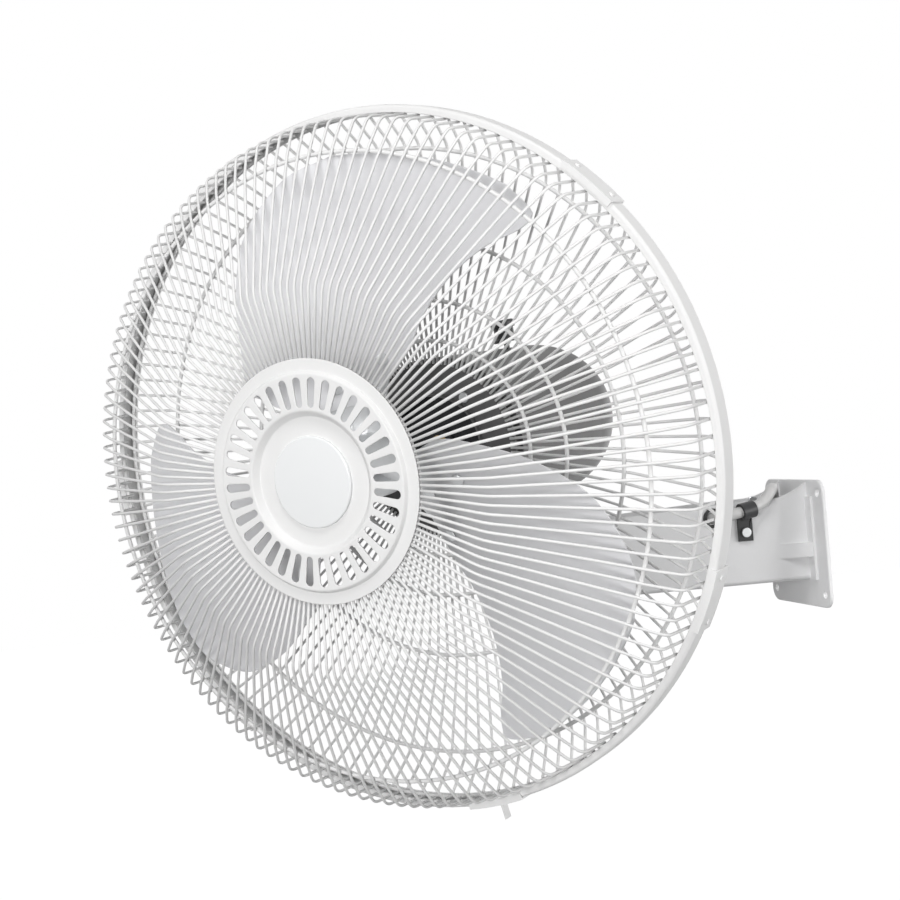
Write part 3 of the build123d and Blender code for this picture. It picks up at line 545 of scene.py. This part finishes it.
# %% Rear guard
first_hoop_out = 20 * mm
add_piece(
    "rear_guard_wires_round",
    *guard_wires(rear_line, (60 * mm, 26 * mm), rear_wire_count),
    "head", "powder_white", ["rear_guard_wires"], head,
)
rear_hoop_places = (
    rear_inner_r + first_hoop_out, (rear_inner_r + rear_kink_r) / 2, rear_kink_r - hoop_in,
    rear_bend_r - hoop_in,
)
rear_hoops = [seated_hoop(rear_line, r, 1) for r in rear_hoop_places]
rear_hoops.append(hoop(rim_r, rim_hoop_in - band_wide))
add_piece(
    "rear_guard_hoops", *joined(rear_hoops), "head", "powder_white", ["rear_guard_rings"], head
)
print("rear guard:", rear_wire_count, "wires and", len(rear_hoops), "hoops")

# %% [markdown]
# ## Pressed sheet with folded edges
#
# Band, plate and blades are thin steel, bent in tools with round corners.  A sheet is drawn
# here as the line down its middle, and `sheet_outline` thickens it and rounds its cut ends.
# The weighted normal modifier keeps flats flat and lets only the bends shade softly.


# %% Thick sheet from its middle line
def round_end(start, end, steps=4):
    """Points of the half circle from one corner of a sheet's cut end to the other."""
    middle = (Vector(start) + Vector(end)) / 2
    arm = Vector(start) - middle
    turns = [Matrix.Rotation(-pi * i / steps, 2) for i in range(1, steps)]
    return [tuple(middle + turn @ arm) for turn in turns]


def sheet_outline(line, thick, both_ends=True):
    """The section of a sheet, from the (radius, ahead) points of its middle line."""
    left, right = [], []
    for i, point in enumerate(line):
        before, after = line[max(i - 1, 0)], line[min(i + 1, len(line) - 1)]
        run = Vector((after[0] - before[0], after[1] - before[1])).normalized()
        lift = Vector((-run.y, run.x)) * thick / 2
        left.append(tuple(Vector(point) + lift))
        right.append(tuple(Vector(point) - lift))
    outline = left + round_end(left[-1], right[-1]) + right[::-1]
    if both_ends:
        outline += round_end(right[0], left[0])
    return outline


def weigh_normals(piece):
    piece.modifiers.new("weighted_normals", "WEIGHTED_NORMAL").keep_sharp = True


# %% [markdown]
# ## The clamp band
#
# The band is a strip rolled into a channel, which grips the outer hoops of both guards.  Its
# section is a U that opens inwards.  Turning that section about the axis gives the whole ring
# at once, with lips that catch the light as an even line.

# %% Clamp band
lip_r = band_r - band_sheet - band_lip
front_lip, rear_lip = band_ahead - band_sheet / 2, band_ahead - band_wide + band_sheet / 2
wall_r = band_r - band_sheet / 2
band_middle = [(lip_r, front_lip), (wall_r, front_lip), (wall_r, rear_lip), (lip_r, rear_lip)]
band_bend, band_steps = 2.2 * mm, 300
band_section = sheet_outline(rounded(band_middle, (band_bend, band_bend)), band_sheet)
band = add_piece(
    "clamp_band_rolled", *lathe(band_section, band_steps), "head", "powder_white",
    ["clamp_band"], head,
)
weigh_normals(band)
print("clamp band:", round(2 * band_r / mm), "mm across, section of", len(band_section), "points")

# %% [markdown]
# ## The hub plate
#
# One pressing closes the middle of the front guard: a rim, a step up, a flat ring punched
# with slots, and a sunk floor that the cap sits on.  The turned parts are a lathe.  The slotted
# ring is built one sector at a time: its faces run from the sector's edge to the slot's, and
# then down into the slot over a small radius, as punched and painted sheet has.

# %% Hub plate sizes
plate_r, step_outer, step_inner = 94 * mm, 85 * mm, 83 * mm
recess_outer, recess_inner, stud_hole_r = 55 * mm, 50.5 * mm, 5.95 * mm
plate_sheet = 1.2 * mm
step_rise, recess_drop = 3 * mm, 5 * mm
step_bend, recess_bend = 1.3 * mm, 2.2 * mm
rim_level = band_ahead + 104.85 * mm
raised_level = rim_level + step_rise
floor_level = raised_level - recess_drop
ring_outer, ring_inner = 82.2 * mm, 56.0 * mm
slot_count, arc_steps, side_steps = 36, 10, 6
slot_inner_end, slot_outer_end = (60.25 * mm, 2.75 * mm), (77.0 * mm, 3.5 * mm)  # (middle, radius)
slot_edge = 0.4 * mm  # the rounding of the slot's punched edge
edge_middle = 0.3  # the middle of that rounding, as a share of it from both faces
print("hub plate:", round(2 * plate_r / mm), "mm across with", slot_count, "slots")


# %% One slot and its sector
def with_sides(ends):
    """Two rows of points, joined by straight sides of `side_steps` each."""
    half = len(ends) // 2
    outline = []
    for row, after in ((ends[:half], ends[half]), (ends[half:], ends[0])):
        outline += row
        for i in range(1, side_steps):
            outline.append(tuple(Vector(row[-1]).lerp(Vector(after), i / side_steps)))
    return outline


def arc(at, r, first, last):
    """An arc about the point `at` on the sector's middle line, from one angle to another."""
    turns = [first + (last - first) * i / arc_steps for i in range(arc_steps + 1)]
    return [(at + r * cos(a), r * sin(a)) for a in turns]


def slot_outline(grow):
    """The slot's edge as (out, along) points, `grow` outside its real line."""
    (inner_at, inner_r), (outer_at, outer_r) = slot_inner_end, slot_outer_end
    square = pi / 2 + asin((outer_r - inner_r) / (outer_at - inner_at))
    outer = arc(outer_at, outer_r + grow, -square, square)
    return with_sides(outer + arc(inner_at, inner_r + grow, square, 2 * pi - square))


def sector_outline():
    """The sector's own edge, with as many points as the slot's edge."""
    half = pi / slot_count
    return with_sides(arc(0, ring_outer, -half, half) + arc(0, ring_inner, half, -half))


# %% The slotted ring
def slotted_ring():
    """The raised ring with all its slots, sector by sector."""
    top, bottom = raised_level + plate_sheet / 2, raised_level - plate_sheet / 2
    rings = [
        (sector_outline(), top),
        (slot_outline(slot_edge), top),
        (slot_outline(slot_edge * edge_middle), top - slot_edge * edge_middle),
        (slot_outline(0), top - slot_edge),
        (slot_outline(0), bottom),
        (sector_outline(), bottom),
    ]
    count = len(rings[0][0])
    faces = []
    for i in range(len(rings) - 1):
        for j in range(count):
            k = (j + 1) % count
            faces.append((i * count + j, i * count + k, (i + 1) * count + k, (i + 1) * count + j))
    sectors = []
    for n in range(slot_count):
        a = 2 * pi * (n + 0.5) / slot_count
        out, along = Vector((cos(a), 0, sin(a))), Vector((-sin(a), 0, cos(a)))
        points = [
            out * u + along * v - Vector((0, s, 0)) for outline, s in rings for u, v in outline
        ]
        sectors.append((points, faces))
    return joined(sectors)


# %% [markdown]
# ## Closing the seams
#
# The sectors and the turned rings only touch.  Merging the points that lie on each other makes
# one skin of them, so that no seam shows in the shading, and then all its faces are turned
# outwards.


# %% Merged points
def merge_points(mesh, reach=0.005 * mm):
    """Joins points that lie on each other, and turns all faces outwards."""
    build = bmesh.new()
    build.from_mesh(mesh)
    bmesh.ops.remove_doubles(build, verts=build.verts, dist=reach)
    bmesh.ops.recalc_face_normals(build, faces=build.faces)
    build.to_mesh(mesh)
    build.free()


# %% Hub plate
step = [
    (ring_outer, raised_level), (step_inner, raised_level), (step_outer, rim_level),
    (plate_r, rim_level),
]
recess = [
    (ring_inner, raised_level), (recess_outer, raised_level), (recess_inner, floor_level),
    (stud_hole_r, floor_level),
]
turned = []
for line, bend in ((step, step_bend), (recess, recess_bend)):
    section = sheet_outline(rounded(line, (bend, bend)), plate_sheet, both_ends=False)
    turned.append(lathe(section, slot_count * arc_steps, closed=False))
hub_plate = add_piece(
    "hub_plate_pressed", *joined([slotted_ring()] + turned), "head", "powder_white",
    ["hub_plate"], head,
)
merge_points(hub_plate.data)
weigh_normals(hub_plate)
print("hub plate:", len(hub_plate.data.polygons), "faces")

# %% [markdown]
# ## The round cap
#
# The cap is a plain moulded disc with a stud on its back, which snaps into the hole in the
# plate's floor.  It is one half section turned about the axis, from the stud's end round to
# the middle of the face, where all the points fall together and are merged into one.

# %% Cap
cap_r, cap_thick = 35.4 * mm, 2.6 * mm
stud_r, stud_length = 5.85 * mm, 5 * mm
cap_gap, cap_steps = 0.05 * mm, 144
cap_back = floor_level + plate_sheet / 2 + cap_gap
cap_front = cap_back + cap_thick
cap_corners = [(stud_r, cap_back), (cap_r, cap_back), (cap_r, cap_front), (0, cap_front)]
cap_line = [(stud_r, cap_back - stud_length)] + rounded(cap_corners, (0.3 * mm, 1.3 * mm))
cap = add_piece(
    "centre_cap_moulded", *lathe(cap_line, cap_steps, closed=False), "head", "cap_white",
    ["centre_cap"], head,
)
merge_points(cap.data)
print("cap:", round(2 * cap_r / mm, 1), "mm across")

# %% [markdown]
# ## The blades
#
# Each blade is one pressing whose height depends only on the angle about the shaft, like a
# wide screw thread with a slight hollow.  Its outline is drawn flat, as a designer would cut
# it: each edge is a few points, of a share of the tip's radius and an angle in degrees, with a
# smooth line through them.  Rows of points run from the leading edge to the trailing edge, and
# every point is then lifted to its height.

# %% Blade sizes
blade_count, blade_sheet, blade_edge = 3, 1.6 * mm, 0.45 * mm
root_r, tip_r = 50 * mm, 248 * mm
lead_edge = [(root_r / tip_r, 78), (0.40, 60), (0.50, 58.6), (0.66, 54), (0.80, 48.6), (0.91, 43.6)]
lead_edge += [(0.965, 43.4), (1.0, 50)]
trail_edge = [(root_r / tip_r, 114), (0.40, 127.5), (0.52, 121.5), (0.68, 114), (0.84, 105.6)]
trail_edge += [(0.96, 94), (1.0, 84)]
twist_from, twist_to = 50, 120  # degrees
twist_rise, twist_hollow = 68 * mm, 6 * mm
print("blades:", round(2 * tip_r / mm), "mm across the tips")


# %% A blade's height and outline
def blade_depth(angle):
    """How far ahead of the band's front edge the blade is, at an angle in degrees."""
    u = (angle - twist_from) / (twist_to - twist_from)
    return twist_rise * u - 4 * twist_hollow * u * (1 - u)


def flat_point(share, angle):
    """A point of the outline, from its share of the tip's radius and its angle."""
    return Vector((cos(radians(angle)), sin(radians(angle)))) * share * tip_r


# %% Smooth edges
def through(points, steps=12):
    """A smooth line through points, with each span leaning on its neighbours."""
    ends = [2 * points[0] - points[1]] + points + [2 * points[-1] - points[-2]]
    line = []
    for a, b, c, d in zip(ends, ends[1:], ends[2:], ends[3:]):
        reach = (c - b).length
        lean_b = (c - a) * reach / ((b - a).length + reach)
        lean_c = (d - b) * reach / ((d - c).length + reach)
        for i in range(steps):
            u = i / steps
            line.append(
                b * (2 * u**3 - 3 * u**2 + 1) + c * (3 * u**2 - 2 * u**3)
                + lean_b * (u**3 - 2 * u**2 + u) + lean_c * (u**3 - u**2)
            )
    return line + [points[-1]]


def even(line, count):
    """The same line with `count` points at even steps along it."""
    lengths = [0.0]
    for a, b in zip(line, line[1:]):
        lengths.append(lengths[-1] + (b - a).length)
    spaced, j = [], 0
    for i in range(count):
        want = lengths[-1] * i / (count - 1)
        while j < len(line) - 2 and lengths[j + 1] < want:
            j += 1
        share = (want - lengths[j]) / (lengths[j + 1] - lengths[j])
        spaced.append(line[j].lerp(line[j + 1], min(share, 1.0)))
    return spaced


# %% One blade
def blade_mesh(rows=72, across_steps=40):
    """Points and faces of one blade: its two skins and the rim between them."""
    lead = even(through([flat_point(*p) for p in lead_edge]), rows)
    trail = even(through([flat_point(*p) for p in trail_edge]), rows)
    grid = []
    for a, b in zip(lead, trail):
        for j in range(across_steps + 1):
            u = j / across_steps
            r = a.length * (1 - u) + b.length * u
            angle = atan2(a.y, a.x) * (1 - u) + atan2(b.y, b.x) * u
            grid.append((r, angle, band_ahead + blade_depth(degrees(angle))))
    wide, count = across_steps + 1, len(grid)
    points = []
    for lift in (blade_sheet / 2, -blade_sheet / 2):
        points += [(r * cos(a), -(s + lift), r * sin(a)) for r, a, s in grid]
    faces = []
    for i in range(rows - 1):
        for j in range(across_steps):
            quad = (i * wide + j, i * wide + j + 1, (i + 1) * wide + j + 1, (i + 1) * wide + j)
            faces += [quad, tuple(count + k for k in reversed(quad))]
    rim = list(range(across_steps))
    rim += [i * wide + across_steps for i in range(rows - 1)]
    rim += [(rows - 1) * wide + j for j in range(across_steps, 0, -1)]
    rim += [i * wide for i in range(rows - 1, 0, -1)]
    for a, b in zip(rim, rim[1:] + rim[:1]):
        faces.append((a, count + a, count + b, b))
    return points, faces


# %% Soft edges
sharp_angle = 38  # degrees; a smaller bend isn't an edge


def soften(piece, width):
    """Rounds every sharp edge of a piece and evens the shading beside it."""
    bevel = piece.modifiers.new("soft_edges", "BEVEL")
    bevel.width = width
    bevel.segments = 2
    bevel.limit_method = "ANGLE"
    bevel.angle_limit = radians(sharp_angle)
    weigh_normals(piece)


# %% Blades
one_blade = blade_mesh()
for n in range(blade_count):
    turn = head @ Matrix.Rotation(-2 * pi * n / blade_count, 4, "Y")
    blade = add_piece(f"blade_{n + 1}", *one_blade, "rotor", "blade_paint", ["blades"], turn)
    merge_points(blade.data)
    soften(blade, blade_edge)
print("blades:", blade_count, "of", len(blade.data.polygons), "faces")

# %% [markdown]
# ## Parts that only need soft edges
#
# The arm, the wall plate, the motor cover, clips, nuts and screws have the right shape in the
# frame already, but every edge there is knife sharp.  A copy of each is cleaned of its flat
# splits, then a bevel modifier rounds its edges as folding, casting or turning would.

# %% Soft copies of frame parts
flat_angle = 0.6  # degrees; faces that meet at less are one face
body_of_node = {}
for body_name, names in frame["record"]["behaviour"]["bodies"].items():
    body_of_node.update(dict.fromkeys(names, body_name))


def soft_copy(name, width):
    """A bevelled copy that stands for one part of the frame."""
    mesh = frame["nodes"][name].data.copy()
    if "custom_normal" in mesh.attributes:
        mesh.attributes.remove(mesh.attributes["custom_normal"])
    merge_points(mesh)
    build = bmesh.new()
    build.from_mesh(mesh)
    limit = radians(flat_angle)
    bmesh.ops.dissolve_limit(build, angle_limit=limit, verts=build.verts, edges=build.edges)
    build.to_mesh(mesh)
    build.free()
    shade_smooth(mesh)
    # The rear guard's mount ring takes the cover's near-black colour, painted shade as on the cover.
    slot = "cover_paint" if name == "guard_mount_ring" else slot_of_node[name]
    soften(adopt(f"{name}_soft", mesh, body_of_node[name], slot, [name]), width)


# %% [markdown]
# ## How round each edge is
#
# The width of the rounding tells how a part was made.  Thin sheet has 0.4 to 0.6 mm, left by
# paint over a deburred edge.  Nuts, screws and rivets have 0.5 to 0.9 mm, and castings 0.8 mm
# and more.

# %% Edge widths in millimetres
edge_widths = {
    "wall_plate": 0.5, "bracket_arm": 0.6, "neck_bracket": 1.5, "gearbox_housing": 1.2,
    "gearbox_lid": 0.8, "motor_cover": 0.5, "motor_front_shield": 0.8, "motor_rear_shield": 0.8,
    "guard_mount_ring": 0.5, "guard_clips": 0.4, "band_latch": 0.4, "blade_spider": 0.6,
    "hub_nut": 0.5, "tilt_bolt": 0.6, "tilt_nut": 0.6, "tilt_washers": 0.3, "cable_clip": 0.4,
    "cord_grommet": 0.5, "cover_screws": 0.8, "clip_screw": 0.8, "earth_screw": 0.8,
    "guard_mount_screws": 0.8, "blade_rivets": 0.9, "clutch_knob": 0.6,
}
for name, width in edge_widths.items():
    soft_copy(name, width * mm)
print("softened", len(edge_widths), "parts")

# %% [markdown]
# ## The supply lead
#
# The lead is round plastic cable with a life of its own: it leaves the tilt joint inside the
# arm, comes out through a rubber bush, is held once by a clip, and goes over the arm's edge to
# the hole in the wall plate.  A chain of cylinders would kink at each joint.  A quadratic NURBS
# curve, guided by the same points as the construction's tube, bends as evenly as cable does.

# %% Lead
lead_d = 10 * mm
clip_x = 37.8
lead_route = [  # in millimetres
    (0, -248.8, 3), (0.5, -212, -5), (-1, -166, -3), (1, -128, 12), (6, -96, 30),
    (clip_x + 4.7, -96, 30), (clip_x - 2.4, -50.6, 37.6), (clip_x - 4, -38, 53),
    (clip_x - 23, -30, 52), (4, -21, 30), (4, -0.2, 30),
]
lead_curve = bpy.data.curves.new("power_lead", "CURVE")
lead_curve.dimensions = "3D"
lead_curve.bevel_depth = lead_d / 2
lead_curve.bevel_resolution = 6
lead_curve.use_fill_caps = True
lead_line = lead_curve.splines.new("NURBS")
lead_line.points.add(len(lead_route) - 1)
for point, (x, y, z) in zip(lead_line.points, lead_route):
    point.co = (x * mm, y * mm, z * mm, 1)
lead_line.order_u = 3
lead_line.use_endpoint_u = True
lead_line.resolution_u = 24
lead_piece = adopt("power_lead", lead_curve, "bracket", "cord_pvc", ["power_cord"])

# %% [markdown]
# ## Floor and background
#
# The photograph is a cut-out on pure white.  Lighting the floor and the sky until they were
# white would bleach the fan, so both are white only to the camera and in reflections.  To all
# other light they are a dim grey-white, which fills the shadows.  A Light Path node tells what
# each ray is for, and a Mix Shader chooses by that.


# %% White to the camera
def white_when_seen(tree, plain, white):
    """The white shader for rays from the camera, a mirror or glass, else the plain one."""
    kinds = ("Is Camera Ray", "Is Glossy Ray", "Is Transmission Ray")
    direct, mirrored, through = (tree.make("ShaderNodeLightPath", {}, {}, kind) for kind in kinds)
    seen = (direct + mirrored + through).clamped()
    return tree.make("ShaderNodeMixShader", {}, {0: seen, 1: plain, 2: white})


# %% Sky
sky_strength = 0.2
sky_white = (1, 1, 1, 1)
world = bpy.data.worlds.new("sky")
bpy.context.scene.world = world
sky = Nodes(world)
background = sky.nodes["Background"]
sky.plug(background, "Color", sky_white)
sky.plug(background, "Strength", sky_strength)
plain_sky = Value(sky, background.outputs[0])
white_sky = sky.make("ShaderNodeBackground", {}, {"Color": sky_white, "Strength": 1.0})
sky.plug(sky.nodes["World Output"], "Surface", white_when_seen(sky, plain_sky, white_sky))
print("sky strength:", sky_strength)

# %% Floor
floor_height, floor_reach = -1.3, 12.0
floor_grey, floor_glow = 0.2, 0.9  # together the floor is white where nothing shades it
signs = ((-1, -1), (1, -1), (1, 1), (-1, 1))
corners = [(x * floor_reach, y * floor_reach, floor_height) for x, y in signs]
floor_mesh = bpy.data.meshes.new("floor")
floor_mesh.from_pydata(corners, [], [(0, 1, 2, 3)])
floor = bpy.data.objects.new("floor", floor_mesh)
bpy.context.scene.collection.objects.link(floor)
floor_paint = Shader(
    "floor_white", Base_Color=(floor_grey, floor_grey, floor_grey, 1), Roughness=0.7
)
plain_floor = Value(floor_paint, floor_paint.surface.outputs[0])
glow = floor_paint.make("ShaderNodeEmission", {}, {"Strength": floor_glow})
white_floor = floor_paint.make("ShaderNodeAddShader", {}, {0: glow, 1: plain_floor})
seen_floor = white_when_seen(floor_paint, plain_floor, white_floor)
floor_paint.plug(floor_paint.nodes["Material Output"], "Surface", seen_floor)
floor_mesh.materials.append(floor_paint.material)
print("floor at", floor_height, "m")

# %% [markdown]
# ## The lamps
#
# The fan is lit from all round by large soft lamps.  The strongest stands beside the camera,
# where it reaches past the guard to the arm and the wall plate.  One above it draws the bright
# line along each wire, one at the side lights the band, and a low one behind the fan keeps the
# far rim from going dark.


# %% Lamps
def soft_lamp(name, place, size, watts):
    """A square lamp that looks at the fan's middle."""
    data = bpy.data.lights.new(name, "AREA")
    data.size = size
    data.energy = watts
    lamp = bpy.data.objects.new(name, data)
    lamp.location = place
    lamp.rotation_mode = "QUATERNION"
    lamp.rotation_quaternion = (fan_middle - Vector(place)).to_track_quat("-Z", "Y")
    bpy.context.scene.collection.objects.link(lamp)


fan_middle = centre + ahead * band_ahead
lamps = {
    "top": ((1.8, -0.9, 2.5), 0.8, 32),
    "front": ((2.65, -2.05, 0.25), 0.7, 63),
    "side": ((1.54, 1.98, 0.2), 1.2, 33),
    "behind": ((-2.0, 1.9, -0.1), 1.6, 16),
}
for name, lamp_values in lamps.items():
    soft_lamp(name, *lamp_values)
bpy.context.scene.view_settings.view_transform = "Standard"
print("lamps:", ", ".join(lamps))
